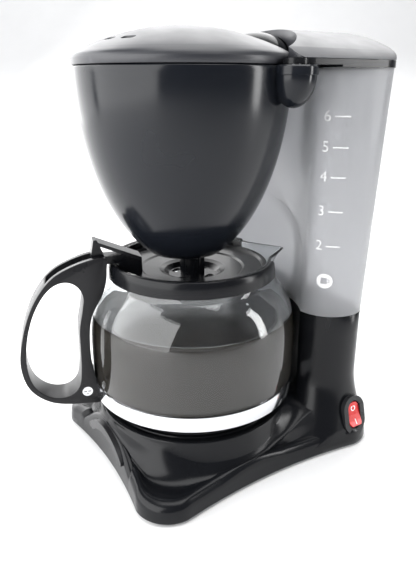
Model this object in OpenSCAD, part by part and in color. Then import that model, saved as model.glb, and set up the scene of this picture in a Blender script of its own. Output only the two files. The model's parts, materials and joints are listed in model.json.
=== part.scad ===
// Drip coffee maker with a swing-out brew funnel and a glass jug.
// Z is up, the table is z = 0, the handle side (front) faces -Y.
// Heights are above the table; plan positions are from the jug's axis, set by on_jug_axis().

/* [Base] */
// Width over the base's corners
base_w = 140; // [138:1:142]
// Reach of the base in front of the jug's axis
base_front = 66; // [65:1:68]
// Reach of the base behind the jug's axis
base_rear = 98; // [97:1:100]
// Height of the base's side wall
base_h = 14; // [13:1:15]
// Height of the round seat under the jug
seat_h = 32; // [31.5:0.5:32.5]
// Radius of the round seat
seat_r = 58; // [57:0.5:58.5]
// Height of the rubber feet
foot_h = 1.5; // [1:0.5:2]
// Wall thickness of the mouldings
wall = 2.2; // [2:0.1:2.4]

/* [Tank] */
// Half width of the tank at its foot
tank_foot_x = 58; // [57:0.5:59]
// Half width of the tank at its top
tank_top_x = 61; // [60:0.5:62]
// Height of the joint between the pillar and the tank
tank_z = 87; // [86:1:89]
// Radius of the niche that the jug stands in
niche_r = 66; // [65.5:0.5:67]

/* [Brew head] */
// How far the brew head's axis stands in front of the jug's axis
head_shift = 4.5; // [4:0.5:5]
// Outside radius of the funnel's rim
funnel_r = 57.2; // [57:0.1:57.4]
// Height of the dome's crown
dome_top = 246; // [245.5:0.5:246.5]

/* [Jug] */
// Angle that the jug stands turned on its plate
jug_turn = 15; // [10:1:18]
// Width of the jug's handle
handle_w = 17; // [16:0.5:18]
// Height of the rinsed ring on the jug's lid, under the drip stop
ring_z = 121.9; // [121:0.1:122]

/* [Hidden] */
$fn = 96;
eps = 0.01;

tank_y0 = 55;            // front wall of the tank and pillar
tank_foot_y1 = 93;       // rear wall at the tank's foot
tank_top_y1 = 97;        // rear wall at the tank's top
tank_rf = 22;            // front corner radius
tank_rr = 15;            // rear corner radius
tank_top = 226;
niche_top = 117.5;       // where the niche's dome starts
frame_top = 229.6;
lid_seat = frame_top + 0.3;
lid_crown = 246.5;
lid_arc = 117;           // radius of the lid's crown across the machine
lid_axis = [95.6, 232.6]; // y, z of the tank lid's hinge
hood = [0, 42, 218];     // centre of the ball that forms the pipe hood
hood_r = 27;
rim_z = 226.6;           // funnel rim
funnel_axis = 106.6;     // vertical half axis of the funnel's elliptic profile
dome_arc = 119;          // radius of the dome
dome_rim = 227;
hinge = [54.5, 25.5];    // plan position of the funnel's vertical hinge
knuckle_r = 11.2;
pipe_x = 12;             // the two water pipes stand at +/- this
pipe_y = 76;
pipe_z = 24.5;           // height of the tubes under the hot plate
pipe_r = 3.5;
tube_ring = 41.5;        // radius of the water tube's loop
rod_ring = 34;           // radius of the heating rod's loop
loop_gap = asin(pipe_x / tube_ring);
rod_gap = asin(5 / rod_ring);
flange_screw_at = [[-13, 57], [-1, 61]];
run_z = 235.5;           // height of the pipe's run to the spray head
plate_r = 50;
plate_top = 33;
jug_z = plate_top + 0.3;
pillar_z = seat_h + 1;   // joint between the base and the pillar
pin_u = 57;              // jug lid's pivot, out from the jug's axis
pin_z = 119;
screw_u = 67.5;          // strap screw
screw_z = 46.4;
floor_z = 127;           // underside of the funnel's floor
switch_at = [64.1, 79.5, 20];
switch_tilt = 13.4;      // lean of the pillar's foot at the switch
gland_at = [-34, 9.5];    // x, z of the mains inlet in the rear wall
foot_at = [[-54, -50], [54, -50], [-54, 82], [54, 82]];
screw_at = [[-40, -36], [40, -36], [-48, 66], [48, 66]];
marks = [[2, 131], [3, 151], [4, 170], [5, 186], [6, 202]];
handle_reach = 103;

// The jug's axis in the model's frame: it centres the handle and the gland over the origin.
jug_y = (handle_reach * cos(jug_turn) + handle_w / 2 * sin(jug_turn) - base_rear - 1.5) / 2;

// ---------- helpers ----------

module on_jug_axis() translate([0, jug_y, 0]) children();

module on_head_axis() on_jug_axis() translate([0, -head_shift, 0]) children();

// The jug's own frame: -Y points along its handle.
module in_jug() on_jug_axis() rotate([0, 0, -jug_turn]) children();

// Lays a 2D outline of (distance out, height) on the handle's plane.
module on_handle(width) in_jug() rotate([90, 0, -90]) translate([0, 0, -width / 2])
  linear_extrude(width) children();

function blend(a, b, t) = a + (b - a) * t;

function catmull(p0, p1, p2, p3, t) =
  0.5 * (2 * p1 + (p2 - p0) * t + (2 * p0 - 5 * p1 + 4 * p2 - p3) * t * t
  + (3 * p1 - p0 - 3 * p2 + p3) * t * t * t);

// Smooth open curve through the points, n steps to each span.
function curve(p, n) = [for (i = [0 : len(p) - 2], k = [0 : n - 1])
  catmull(p[max(i - 1, 0)], p[i], p[i + 1], p[min(i + 2, len(p) - 1)], k / n), p[len(p) - 1]];

// Smooth closed curve through the points.
function loop(p, n) = [for (i = [0 : len(p) - 1], k = [0 : n - 1])
  catmull(p[(i + len(p) - 1) % len(p)], p[i], p[(i + 1) % len(p)], p[(i + 2) % len(p)], k / n)];

function funnel_x(z, t) = (funnel_r - t) * sqrt(max(0, 1 - pow((rim_z - z) / (funnel_axis - t), 2)));

function dome_z(r, t) = dome_top - t - r * r / (2 * dome_arc);

module tube(r1, r2, h) difference() {
  cylinder(r = r2, h = h);
  translate([0, 0, -eps]) cylinder(r = r1, h = h + 2 * eps);
}

// Rounded slot along X.
module slot(length, r, h) {
  for (s = [-1, 1]) translate([s * (length / 2 - r), 0, 0]) cylinder(r = r, h = h);
  translate([-(length / 2 - r), -r, 0]) cube([length - 2 * r, 2 * r, h]);
}

// Rectangle over x = +/-w with its own front and rear corner radii.
module d_plan(w, y0, y1, rf, rr) {
  translate([-(w - rf), y0]) square([2 * (w - rf), y1 - y0]);
  translate([-w, y0 + rf]) square([2 * w, y1 - rr - y0 - rf]);
  translate([-(w - rr), y0 + rf]) square([2 * (w - rr), y1 - y0 - rf]);
  for (s = [-1, 1]) translate([s * (w - rr), y1 - rr]) circle(rr);
  intersection() {
    union() for (s = [-1, 1]) translate([s * (w - rf), y0 + rf]) circle(rf);
    translate([-w, y0]) square([2 * w, rf]);
  }
}

// Plan of the base: four rounded corners, the sides and front drawn in between them.
module base_plan(inset) {
  side_sag = 5.5;
  side_half = 62;
  side_r = (side_half * side_half + side_sag * side_sag) / (2 * side_sag);
  front_sag = 4.5;
  front_half = 50;
  front_r = (front_half * front_half + front_sag * front_sag) / (2 * front_sag);
  difference() {
    d_plan(base_w / 2 - inset, -base_front + inset, base_rear - inset, 20 - inset, 20 - inset);
    for (s = [-1, 1]) translate([s * (base_w / 2 - side_sag + side_r), 16])
      circle(side_r + inset, $fn = 360);
    translate([0, -base_front + front_sag - front_r]) circle(front_r + inset, $fn = 360);
  }
}

module pillar_plan(inset) difference() {
  d_plan(tank_foot_x - inset, tank_y0 + inset, tank_foot_y1 - inset, tank_rf - inset, tank_rr - inset);
  circle(niche_r + inset);
}

// The pillar's foot, leaning out to the base at the sides, rear and front corners.
module rear_flare(inset) difference() {
  hull() {
    translate([0, 0, 11]) linear_extrude(eps)
      d_plan(66.3 - inset, 34 + inset, 97 - inset, 21 - inset, 18 - inset, $fn = 48);
    translate([0, 0, 45 - inset]) linear_extrude(eps)
      d_plan(58.2 - inset, tank_y0 + inset, tank_foot_y1 - inset, tank_rf - inset,
        tank_rr - inset, $fn = 48);
  }
  cylinder(r = 61 + inset, h = 60);
  translate([0, 0, seat_h + 1]) cylinder(r = niche_r + inset, h = 60);
}

// Niche: a round shaft closed by a half ball.
module niche(grow) {
  translate([0, 0, 30]) cylinder(r = niche_r + grow, h = niche_top - 30);
  translate([0, 0, niche_top]) sphere(r = niche_r + grow, $fn = 96);
}

module tank_block(inset, z0, z1) hull() {
  translate([0, 0, z0]) linear_extrude(eps)
    d_plan(tank_foot_x - inset, tank_y0 + inset, tank_foot_y1 - inset, tank_rf - inset,
      tank_rr - inset, $fn = 48);
  translate([0, 0, z1]) linear_extrude(eps)
    d_plan(tank_top_x - inset, tank_y0 + inset, tank_top_y1 - inset, tank_rf - inset,
      tank_rr - inset, $fn = 48);
}

// Plan of the top frame and the tank lid: it reaches forward beside the dome.
module head_plan(inset, r_dome) difference() {
  d_plan(61.5 - inset, 16 + inset, 98 - inset, 16 - inset, 16 - inset);
  translate([0, -head_shift]) circle(r_dome + inset);
  translate([-70, 0]) square([140, 24 + inset]);
}

// ---------- base ----------

module base_housing() color([0.05, 0.05, 0.06]) on_jug_axis() intersection() {
  housing();
  translate([-100, -100, 0]) cube([200, 250, pillar_z]);
}

module pillar_housing() color([0.05, 0.05, 0.06]) on_jug_axis() difference() {
  housing();
  translate([-100, -100, -1]) cube([200, 250, pillar_z + 1]);
}

// The base and the pillar together, before they are parted.
module housing() difference() {
  base_outside();
  difference() {
    base_inside();
    for (p = screw_at) translate([p[0], p[1], foot_h + 2.1]) cylinder(r = 3.4, h = tank_z);
    for (x = [-68, 48]) translate([x, 65, foot_h + 2.1]) cube([20, 2, 24]);
  }
  translate([0, 0, foot_h]) cylinder(r = 46, h = seat_h);
  translate([0, 0, seat_h - 1.5]) cylinder(r = plate_r + 0.3, h = 3);
  translate([0, 0, seat_h - 0.8]) tube(seat_r - 5, seat_r - 2.5, 2);
  trim_bar(0.1);
  for (s = [-1, 1]) translate([s * pipe_x, pipe_y, tank_z - 5]) cylinder(r = 7.2, h = 10);
  at_switch() {
    translate([0, 0, -14]) slot(21.2, 6.3, 30);
    translate([0, 0, -2.6]) slot(25.2, 8.7, 20);
  }
  translate([gland_at[0], base_rear - 10, gland_at[1]]) rotate([-90, 0, 0]) cylinder(r = 5, h = 20);
  translate([gland_at[0], base_rear - 22.3, gland_at[1]]) rotate([-90, 0, 0]) cylinder(r = 6, h = 20);
  for (p = screw_at) translate([p[0], p[1], 0]) cylinder(r = 1.3, h = 10);
}

module base_outside() {
  translate([0, 0, foot_h]) linear_extrude(base_h - foot_h) base_plan(0);
  translate([0, 0, foot_h]) cylinder(r = seat_r, h = seat_h - foot_h);
  front_arch(0);
  rear_flare(0);
  translate([0, 0, base_h - 1]) linear_extrude(tank_z - base_h + 1) pillar_plan(0);
  translate([-24, 45, foot_h]) cube([48, 13.5, seat_h - foot_h]);
  translate([-24, 58, foot_h]) cube([48, 14, seat_h + 2 - foot_h]);
}

module base_inside() {
  translate([0, 0, foot_h - eps]) linear_extrude(base_h - wall - foot_h) base_plan(wall);
  translate([0, 0, foot_h - eps]) cylinder(r = seat_r - wall, h = seat_h - 3.8 - foot_h);
  front_arch(wall);
  rear_flare(wall);
  translate([0, 0, base_h - 4]) linear_extrude(tank_z - 3 - base_h + 4) pillar_plan(wall);
  translate([-24 + wall, 40, foot_h - eps]) cube([48 - 2 * wall, 20, seat_h - 2.4 - foot_h]);
  translate([-24 + wall, 58, foot_h - eps]) cube([48 - 2 * wall, 16, seat_h - 0.4 - foot_h]);
}

// The upright part of the front wall, arched over the trim.
module front_arch(inset) intersection() {
  translate([0, 0, foot_h]) linear_extrude(40) base_plan(inset);
  translate([0, -40, -33]) rotate([90, 0, 0]) cylinder(r = 60 - inset, h = 40);
  translate([-50, -80, 0]) cube([100, 33 - inset, 50]);
}

module bottom_cover() color([0.12, 0.12, 0.13]) on_jug_axis() difference() {
  translate([0, 0, foot_h]) linear_extrude(2) base_plan(wall + 0.2);
  for (p = foot_at) translate([p[0], p[1], 0]) cylinder(r = 2.6, h = 9);
  for (p = screw_at) translate([p[0], p[1], 0]) {
    cylinder(r = 1.7, h = 9);
    cylinder(r = 3.2, h = foot_h + 1.2);
  }
  for (i = [-3 : 3]) translate([i * 9, 0, 0]) rotate([0, 0, 90]) slot(44, 1.5, 9);
}

module cover_screws() color([0.6, 0.6, 0.62]) on_jug_axis() for (p = screw_at)
  translate([p[0], p[1], foot_h + 0.2]) {
    cylinder(r = 2.9, h = 1);
    cylinder(r = 1.25, h = 8.1);
  }

module rubber_feet() color([0.08, 0.08, 0.08]) on_jug_axis() for (p = foot_at)
  translate([p[0], p[1], 0]) {
    cylinder(r = 7, h = foot_h);
    cylinder(r = 2.5, h = foot_h + 3);
    translate([0, 0, foot_h + 2.1]) cylinder(r1 = 3.4, r2 = 2.6, h = 1.2);
  }

// A plain arched bar let into the front wall.
module front_trim() color([0.02, 0.02, 0.02]) on_jug_axis() trim_bar(0);

module trim_bar(grow) translate([1.5, -base_front + 7 + grow, -7]) rotate([90, 0, 0])
  linear_extrude(4.6 + grow) intersection() {
    difference() {
      circle(33.5 + grow);
      circle(28 - grow);
    }
    translate([-24 - grow, 21 - grow]) square([48 + 2 * grow, 30]);
  }

// ---------- heater ----------

module hot_plate() color([0.1, 0.1, 0.11]) on_jug_axis() difference() {
  rotate_extrude() polygon([
    [0, pipe_z + pipe_r + 0.1], [45.6, pipe_z + pipe_r + 0.1], [45.6, 30.6], [plate_r, 30.6],
    [plate_r, plate_top - 0.6], [plate_r - 0.6, plate_top], [0, plate_top]]);
  translate([0, -10, 20]) cylinder(r = 2.05, h = 11);
}

module pipe_loop(radius, gap, r) translate([0, 0, pipe_z]) rotate([0, 0, 90 + gap])
  rotate_extrude(angle = 360 - 2 * gap) translate([radius, 0]) circle(r);

// Upright elbow where a loop's end turns back to the hoses.
module elbows(radius, gap, r) for (s = [-1, 1])
  translate([s * radius * sin(gap), radius * cos(gap), pipe_z - r]) cylinder(r = r, h = 2 * r);

module legs(radius, gap, r, length) for (s = [-1, 1])
  translate([s * radius * sin(gap), radius * cos(gap), pipe_z]) rotate([-90, 0, 0])
    cylinder(r = r, h = length);

module heating_rod() color([0.35, 0.35, 0.37]) on_jug_axis() {
  pipe_loop(rod_ring, rod_gap, 3.1);
  elbows(rod_ring, rod_gap, 3.4);
  legs(rod_ring, rod_gap, 1.8, 9);
  for (s = [-1, 1]) translate([s * 5 - 2, rod_ring * cos(rod_gap) + 6, pipe_z - 0.4]) cube([4, 8, 0.8]);
}

module water_tube() color([0.7, 0.7, 0.72]) on_jug_axis() difference() {
  union() {
    pipe_loop(tube_ring, loop_gap, pipe_r);
    elbows(tube_ring, loop_gap, pipe_r + 0.05);
    legs(tube_ring, loop_gap, pipe_r, 16);
  }
  pipe_loop(tube_ring, loop_gap, pipe_r - 1);
  elbows(tube_ring, loop_gap, pipe_r - 0.9);
  legs(tube_ring, loop_gap, pipe_r - 1, 20);
}

module heater_clamp() color([0.6, 0.6, 0.62]) on_jug_axis() difference() {
  translate([-44, -16, pipe_z - pipe_r - 1.6]) cube([88, 12, 1.5]);
  translate([0, -10, 0]) cylinder(r = 2.1, h = 40);
}

module clamp_screw() color([0.75, 0.75, 0.77]) on_jug_axis() translate([0, -10, pipe_z - pipe_r - 4.7]) {
  cylinder(r = 3.6, h = 3);
  cylinder(r = 2, h = 14);
}

module thermostat() color([0.85, 0.83, 0.78]) on_jug_axis() translate([0, 12, 0]) {
  translate([0, 0, 18]) cylinder(r = 8, h = 8);
  translate([0, 0, 26]) cylinder(r = 7, h = 2.05);
  for (s = [-1, 1]) translate([s * 5 - 0.4, -3, 11]) cube([0.8, 6, 7]);
}

module thermal_fuse() color([0.8, 0.75, 0.6]) on_jug_axis() translate([-20, -22, 18]) {
  rotate([0, 90, 0]) cylinder(r = 2, h = 12);
  translate([-4, 0, 0]) rotate([0, 90, 0]) cylinder(r = 0.5, h = 20);
}

// Hose from a heater end, back and up to the foot of the tank.
module hose(s, top) translate([s * pipe_x, 0, 0]) difference() {
  hose_path(4.8, 48, top);
  hose_path(pipe_r + 0.05, 47.9, top + 0.1);
}

module hose_path(r, y0, top) {
  bend = 12;
  translate([0, y0, pipe_z]) rotate([-90, 0, 0]) cylinder(r = r, h = pipe_y - bend - y0);
  translate([0, pipe_y - bend, pipe_z + bend]) rotate([0, 90, 0]) rotate_extrude(angle = 90)
    translate([bend, 0]) circle(r);
  translate([0, pipe_y, pipe_z + bend]) cylinder(r = r, h = top - pipe_z - bend);
}

module inlet_hose() color([0.85, 0.85, 0.82]) on_jug_axis() hose(-1, 82);

module outlet_hose() color([0.85, 0.85, 0.82]) on_jug_axis() hose(1, 78);

module hose_clips() color([0.7, 0.7, 0.72]) on_jug_axis() for (s = [-1, 1]) {
  translate([s * pipe_x, pipe_y, 74]) tube(4.85, 5.7, 3);
  translate([s * pipe_x, 63, pipe_z]) rotate([90, 0, 0]) tube(4.85, 5.7, 3);
}

module check_valve() color([0.9, 0.9, 0.9]) on_jug_axis() translate([-pipe_x, pipe_y, 58]) {
  tube(1.8, 3.4, 8);
  translate([0, 0, 8]) sphere(2.4);
}

module mains_gland() color([0.06, 0.06, 0.06]) on_jug_axis()
  translate([gland_at[0], base_rear + 1.5, gland_at[1]]) rotate([90, 0, 0]) difference() {
    union() {
      cylinder(r = 6.4, h = 1.5);
      cylinder(r = 4.9, h = 6);
      translate([0, 0, 4]) cylinder(r1 = 5.7, r2 = 5, h = 2);
    }
    translate([0, 0, -eps]) cylinder(r = 3, h = 8);
  }

module terminal_block() color([0.85, 0.83, 0.76]) on_jug_axis() difference() {
  translate([-44, 74, foot_h + 2]) cube([24, 10, 5.5]);
  for (i = [0 : 2]) translate([-40 + i * 8, 79, 0]) cylinder(r = 1.6, h = 20);
}

// ---------- switch ----------

module at_switch() translate(switch_at) rotate([0, -switch_tilt, 0])
  rotate([0, 90, 0]) children();

module switch_bezel() color([0.03, 0.03, 0.03]) on_jug_axis() at_switch() difference() {
  union() {
    translate([0, 0, -2.5]) slot(25, 8.6, 4.5);
    translate([0, 0, -13]) slot(21, 6.2, 13);
  }
  translate([0, 0, -10.5]) slot(18.6, 5.1, 14);
  translate([0, 0, -3]) rotate([90, 0, 0]) cylinder(r = 1.55, h = 11.8, center = true);
}

// The rocker turns on a cross axle; its O end is pressed in at rest.
module switch_rocker() color([0.75, 0.05, 0.05]) on_jug_axis() at_switch() translate([0, 0, -3]) {
  rotate([90, 0, 0]) cylinder(r = 1.5, h = 11.6, center = true);
  intersection() {
    rotate([90, 0, 0]) linear_extrude(10, center = true) polygon([
      [-8.3, 4.3], [-4, 3.7], [0, 4.1], [4, 5.2], [6.8, 6.4], [7.4, 2], [3, -2.6], [-3, -2.6], [-8, 0.4]]);
    translate([0, 0, -10]) slot(16.8, 4.9, 30);
  }
}

module switch_contacts() color([0.8, 0.65, 0.3]) on_jug_axis() at_switch() for (i = [-1 : 1])
  translate([i * 6 - 0.4, -3, -20]) cube([0.8, 6, 6.9]);

// ---------- tank ----------

module water_tank() color([0.55, 0.56, 0.6, 0.6]) on_jug_axis() difference() {
  union() {
    difference() {
      tank_block(0, tank_z, tank_top);
      difference() {
        tank_block(wall, tank_z + wall, tank_top + 1);
        niche(wall);
      }
    }
    translate([-pipe_x, pipe_y, tank_z - 13]) cylinder(r = pipe_r, h = 14);
  }
  niche(0);
  translate([-pipe_x, pipe_y, tank_z - 20]) cylinder(r = pipe_r - 1.1, h = 30);
  translate([pipe_x, pipe_y, tank_z - 1]) cylinder(r = 6, h = 10);
}

// Printed figures and ticks, a thin layer on the tank's front corner.
module level_marks() color([0.95, 0.95, 0.95]) on_jug_axis() intersection() {
  difference() {
    tank_block(-0.25, tank_z, tank_top);
    tank_block(-0.03, tank_z - 1, tank_top + 1);
  }
  translate([tank_foot_x - tank_rf + 2, tank_y0 + tank_rf, 0]) rotate([0, 0, 36]) {
    for (m = marks) {
      translate([-1.6, -40, m[1] - 0.35]) cube([7, 40, 0.7]);
      translate([-5, -40, m[1]]) rotate([90, 0, 0]) mirror([0, 0, 1]) linear_extrude(40) figure_of(m[0]);
    }
    translate([0, 0, 110]) rotate([90, 0, 0]) linear_extrude(40) jug_sign();
  }
}

// Bars of a figure: top, middle, bottom, upper left, upper right, lower left, lower right.
BARS = [[1, 1, 1, 0, 1, 1, 0], [1, 1, 1, 0, 1, 0, 1], [0, 1, 0, 1, 1, 0, 1],
  [1, 1, 1, 1, 0, 0, 1], [1, 1, 1, 1, 0, 1, 1]];

module figure_of(n) {
  b = BARS[n - 2];
  w = 3;
  h = 5;
  t = 0.7;
  for (i = [0 : 2]) if (b[i]) translate([-w / 2, [h / 2 - t, -t / 2, -h / 2][i]]) square([w, t]);
  for (i = [3 : 6]) if (b[i])
    translate([i % 2 ? -w / 2 : w / 2 - t, i < 5 ? -t / 2 : -h / 2]) square([t, h / 2 + t / 2]);
}

// A disc with a plain jug cut out of it.
module jug_sign() difference() {
  circle(4.4);
  translate([-2, -1.8]) square([3.2, 3.6]);
  translate([1.2, -1]) difference() {
    square([1.5, 2.2]);
    translate([0, 0.5]) square([0.9, 1.2]);
  }
}

module riser_seal() color([0.15, 0.15, 0.15]) on_jug_axis() translate([pipe_x, pipe_y, 0]) difference() {
  union() {
    translate([0, 0, tank_z - 0.8]) cylinder(r = 5.9, h = 5);
    translate([0, 0, tank_z + wall + 0.1]) cylinder(r = 7.6, h = 1.8);
  }
  cylinder(r = pipe_r + 0.05, h = 200);
}

// Up through the tank, a corner fitting, and forward to the spray head.
module riser_tube() color([0.8, 0.8, 0.82]) on_jug_axis() difference() {
  union() {
    riser_path(3.5, 68);
    translate([pipe_x, pipe_y, run_z - 4.6]) cylinder(r = 4.8, h = 9.2);
  }
  riser_path(2.6, 67);
  translate([pipe_x, pipe_y, run_z - 3]) cylinder(r = 2.7, h = 5.7);
}

module riser_path(r, z0) {
  run = sqrt(pow(pipe_x, 2) + pow(pipe_y + head_shift, 2)) - 12 + (68 - z0);
  translate([pipe_x, pipe_y, z0]) cylinder(r = r, h = run_z - z0);
  translate([pipe_x, pipe_y, run_z]) rotate([0, 0, -atan(pipe_x / (pipe_y + head_shift))])
    rotate([90, 0, 0]) cylinder(r = r, h = run);
}

// ---------- top frame, lid and dome ----------

module top_frame() color([0.05, 0.05, 0.06]) on_jug_axis() difference() {
  union() {
    translate([0, 0, tank_top]) linear_extrude(frame_top - tank_top) head_plan(0, 58.4);
    translate([0, 0, dome_rim]) linear_extrude(frame_top - dome_rim) difference() {
      translate(hinge) circle(7);
      translate([0, -head_shift]) circle(58.4);
    }
    translate([0, 0, tank_top - 1.2]) linear_extrude(1.7)
      d_plan(tank_top_x - wall - 0.4, tank_y0 + wall + 0.4, tank_top_y1 - wall - 0.4, 19.4, 12.4);
    for (s = [-1, 1]) translate([s * 30 - 4, lid_axis[0], lid_axis[1]]) {
      rotate([0, 90, 0]) cylinder(r = 2.3, h = 8);
      translate([0, -1.1, -4]) cube([8, 2.2, 4]);
    }
  }
  translate([0, 0, tank_top - 5]) linear_extrude(20) difference() {
    d_plan(53, tank_y0 + 4, 91.5, 14, 8);
    translate([hood[0], hood[1]]) circle(hood_r - 1);
  }
  translate([-80, 0, tank_top - 1]) linear_extrude(dome_rim - tank_top + 1) square([160, 50]);
  translate([pipe_x, pipe_y, 200]) cylinder(r = 4.2, h = 50);
  for (s = [-1, 1]) translate([s * 30 - 10, lid_axis[0], lid_axis[1]]) rotate([0, 90, 0])
    cylinder(r = 1.2, h = 20);
  translate([hinge[0], hinge[1], 220]) cylinder(r = 2.95, h = 20);
  for (p = flange_screw_at) translate([p[0], p[1], 220]) cylinder(r = 1.3, h = 20);
}

module lid_shell(inset) intersection() {
  difference() {
    translate([0, 0, lid_seat - (inset > 0 ? 1 : 0)]) linear_extrude(30) head_plan(inset, 58.4);
    translate(hood) sphere(hood_r + 0.6 + inset);
  }
  translate([0, 0, lid_crown - lid_arc]) rotate([-90, 0, 0])
    cylinder(r = lid_arc - inset, h = 120, $fn = 360);
}

module tank_lid() color([0.1, 0.1, 0.11]) on_jug_axis() difference() {
  union() {
    difference() {
      lid_shell(0);
      lid_shell(2);
      translate([-70, lid_axis[0] - 2.6, lid_seat - 1]) cube([140, 12, 2.2]);
      translate([4, 52, lid_seat - 1]) cube([14, 22, 10.5]);
    }
    for (s = [-1, 1]) translate([s * 38.4 - 4, lid_axis[0], lid_axis[1]]) rotate([0, 90, 0])
      cylinder(r = 2.3, h = 8);
  }
  for (s = [-1, 1]) translate([s * 30 - 4.3, lid_axis[0] - 3, lid_seat - 1])
    cube([8.6, 12, lid_axis[1] - lid_seat + 4]);
  for (s = [-1, 1]) translate([s * 38.4 - 6, lid_axis[0], lid_axis[1]]) rotate([0, 90, 0])
    cylinder(r = 1.25, h = 12);
}

module lid_hinge_pins() color([0.75, 0.75, 0.77]) on_jug_axis() for (s = [-1, 1])
  translate([s * 34.2 - 8, lid_axis[0], lid_axis[1]]) rotate([0, 90, 0]) cylinder(r = 1.2, h = 16);

function dome_edge(t) = concat(
  [for (r = [0 : 6 : 48]) [r, dome_z(r, t)]],
  curve([[52 - t / 2, dome_z(52, t)], [55.6 - t * 0.8, 232.3 - t], [57.2 - t, 230.4 - t / 2]], 4));

module dome_cover() color([0.1, 0.1, 0.11]) difference() {
  union() {
    on_head_axis() rotate_extrude() polygon(concat(dome_edge(0), [[57.2, dome_rim], [0, dome_rim]]));
    on_jug_axis() intersection() {
      translate(hood) sphere(hood_r);
      translate([-40, 10, frame_top]) cube([80, 60, 30]);
    }
  }
  on_head_axis() rotate_extrude() polygon(concat(dome_edge(2), [[55.2, dome_rim - 1], [0, dome_rim - 1]]));
  on_jug_axis() difference() {
    intersection() {
      translate(hood) sphere(hood_r - 2);
      translate([-40, 12, frame_top - 1]) cube([80, 60, 30]);
    }
    translate([-40, 50, frame_top]) cube([80, 20, 2]);
  }
  on_jug_axis() for (p = flange_screw_at) translate([p[0], p[1], 220]) {
    cylinder(r = 1.6, h = 20);
    translate([0, 0, frame_top + 2 - 220]) cylinder(r = 2.6, h = 2);
  }
  on_jug_axis() translate([2, 40, frame_top - 1]) cube([14.5, 30, 10.6]);
  for (a = [-104, -85, -66]) on_head_axis() rotate([0, 0, a]) translate([42, 0, 225])
    rotate([0, 0, 90]) slot(7, 1.6, 30);
}

module dome_screws() color([0.6, 0.6, 0.62]) on_jug_axis() for (p = flange_screw_at) {
  translate([p[0], p[1], frame_top + 2]) cylinder(r = 2.4, h = 1.4);
  translate([p[0], p[1], tank_top]) cylinder(r = 1.25, h = 6);
}

module spray_head() color([0.9, 0.9, 0.9]) on_head_axis() difference() {
  union() {
    translate([0, 0, 229]) cylinder(r = 14, h = 11);
    for (a = [0 : 120 : 240]) rotate([0, 0, a]) translate([10, 0, 239])
      cylinder(r = 1.6, h = dome_z(11.6, 2) - 239);
  }
  translate([0, 0, 230.6]) cylinder(r = 12.4, h = 7.8);
  for (a = [0 : 45 : 315]) rotate([0, 0, a]) translate([8.5, 0, 228]) cylinder(r = 1, h = 5);
  translate([0, 0, run_z]) rotate([90, 0, 180 - atan(pipe_x / (pipe_y + head_shift))])
    cylinder(r = 3.55, h = 20);
}

// ---------- brew funnel ----------

module funnel_solid(t, z0) rotate_extrude() polygon(concat(
  [for (z = [z0 : (rim_z - z0) / 18 : rim_z - 1]) [funnel_x(z, t), z]],
  [[funnel_r - t, rim_z], [0, rim_z], [0, z0]]));

// Half round socket under a flat disc: it carries the hinge.
module knuckle() translate([hinge[0], hinge[1] + head_shift, 0]) {
  translate([0, 0, rim_z - 4.6]) cylinder(r = knuckle_r, h = 4.6);
  translate([0, 0, rim_z - 4.6]) rotate_extrude() polygon(concat([[0, 0]],
    [for (a = [0 : 9 : 90]) [(knuckle_r - 0.5) * cos(a), -15 * sin(a)]]));
}

module brew_funnel() color([0.05, 0.05, 0.06]) on_head_axis() difference() {
  union() {
    funnel_solid(0, floor_z);
    translate([0, 0, 123.4]) cylinder(r = 10.4, h = 8);
    difference() {
      knuckle();
      funnel_solid(1, floor_z);
    }
  }
  difference() {
    translate([0, 0, 0.02]) funnel_solid(wall, floor_z + 2);
    translate([0, 0, 219.4]) tube(51.5, 60, 2.3);
  }
  translate([0, 0, 123]) cylinder(r = 8.2, h = floor_z - 123);
  translate([0, 0, 120]) cylinder(r = 2.45, h = 20);
  for (a = [0 : 60 : 300]) rotate([0, 0, a]) translate([4.7, 0, 120]) cylinder(r = 1.4, h = 20);
  translate([hinge[0], hinge[1] + head_shift, 210]) cylinder(r = 3, h = 30);
}

module funnel_hinge_pin() color([0.75, 0.75, 0.77]) on_jug_axis()
  translate([hinge[0], hinge[1], 211]) cylinder(r = 2.93, h = frame_top - 211.2);

// Open cone with eight windows, hung by its flange.
module filter_basket() color([0.08, 0.08, 0.08]) on_head_axis() difference() {
  rotate_extrude() polygon([[0, 150], [21, 150], [50.2, 221.9], [54.6, 221.9], [54.6, 223.6],
    [48.8, 223.6], [19.8, 151.8], [0, 151.8]]);
  for (a = [0 : 45 : 315]) rotate([0, 0, a]) basket_window();
}

module basket_window() rotate([90, 0, 90]) translate([0, 0, 15]) linear_extrude(40)
  polygon([[-6, 158], [6, 158], [14, 212], [-14, 212]]);

module filter_mesh() color([0.75, 0.7, 0.55]) on_head_axis() rotate_extrude() polygon([
  [0, 151.9], [19.6, 151.9], [47, 219.7], [46.4, 219.7], [19.1, 152.5], [0, 152.5]]);

module drip_cage() color([0.9, 0.9, 0.9]) on_head_axis() {
  translate([0, 0, 141]) tube(1.6, 9.4, 1.4);
  for (a = [30 : 120 : 270]) rotate([0, 0, a]) translate([7.8, -1.6, floor_z + 2]) cube([1.6, 3.2, 12.4]);
}

// Three turns of wire, each made of two tilted half rings.
module drip_spring() color([0.75, 0.75, 0.77]) on_head_axis() for (i = [0 : 5])
  translate([0, 0, 133.1 + 1.26 * i]) rotate([0, i % 2 ? -9 : 9, 0]) rotate([0, 0, 180 * (i % 2) - 4])
    rotate_extrude(angle = 188) translate([4.6, 0]) circle(0.5);

module drip_stem() color([0.9, 0.9, 0.9]) on_head_axis() {
  translate([0, 0, 123.2]) cylinder(r = 7.4, h = 1.6);
  translate([0, 0, 124]) cylinder(r = 2.4, h = 7);
  translate([0, 0, 130.2]) cylinder(r = 6.8, h = 1.5);
}

module drip_seal() color([0.85, 0.3, 0.2]) on_head_axis() translate([0, 0, floor_z + 2.05])
  tube(2.4, 7, 1.15);

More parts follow.
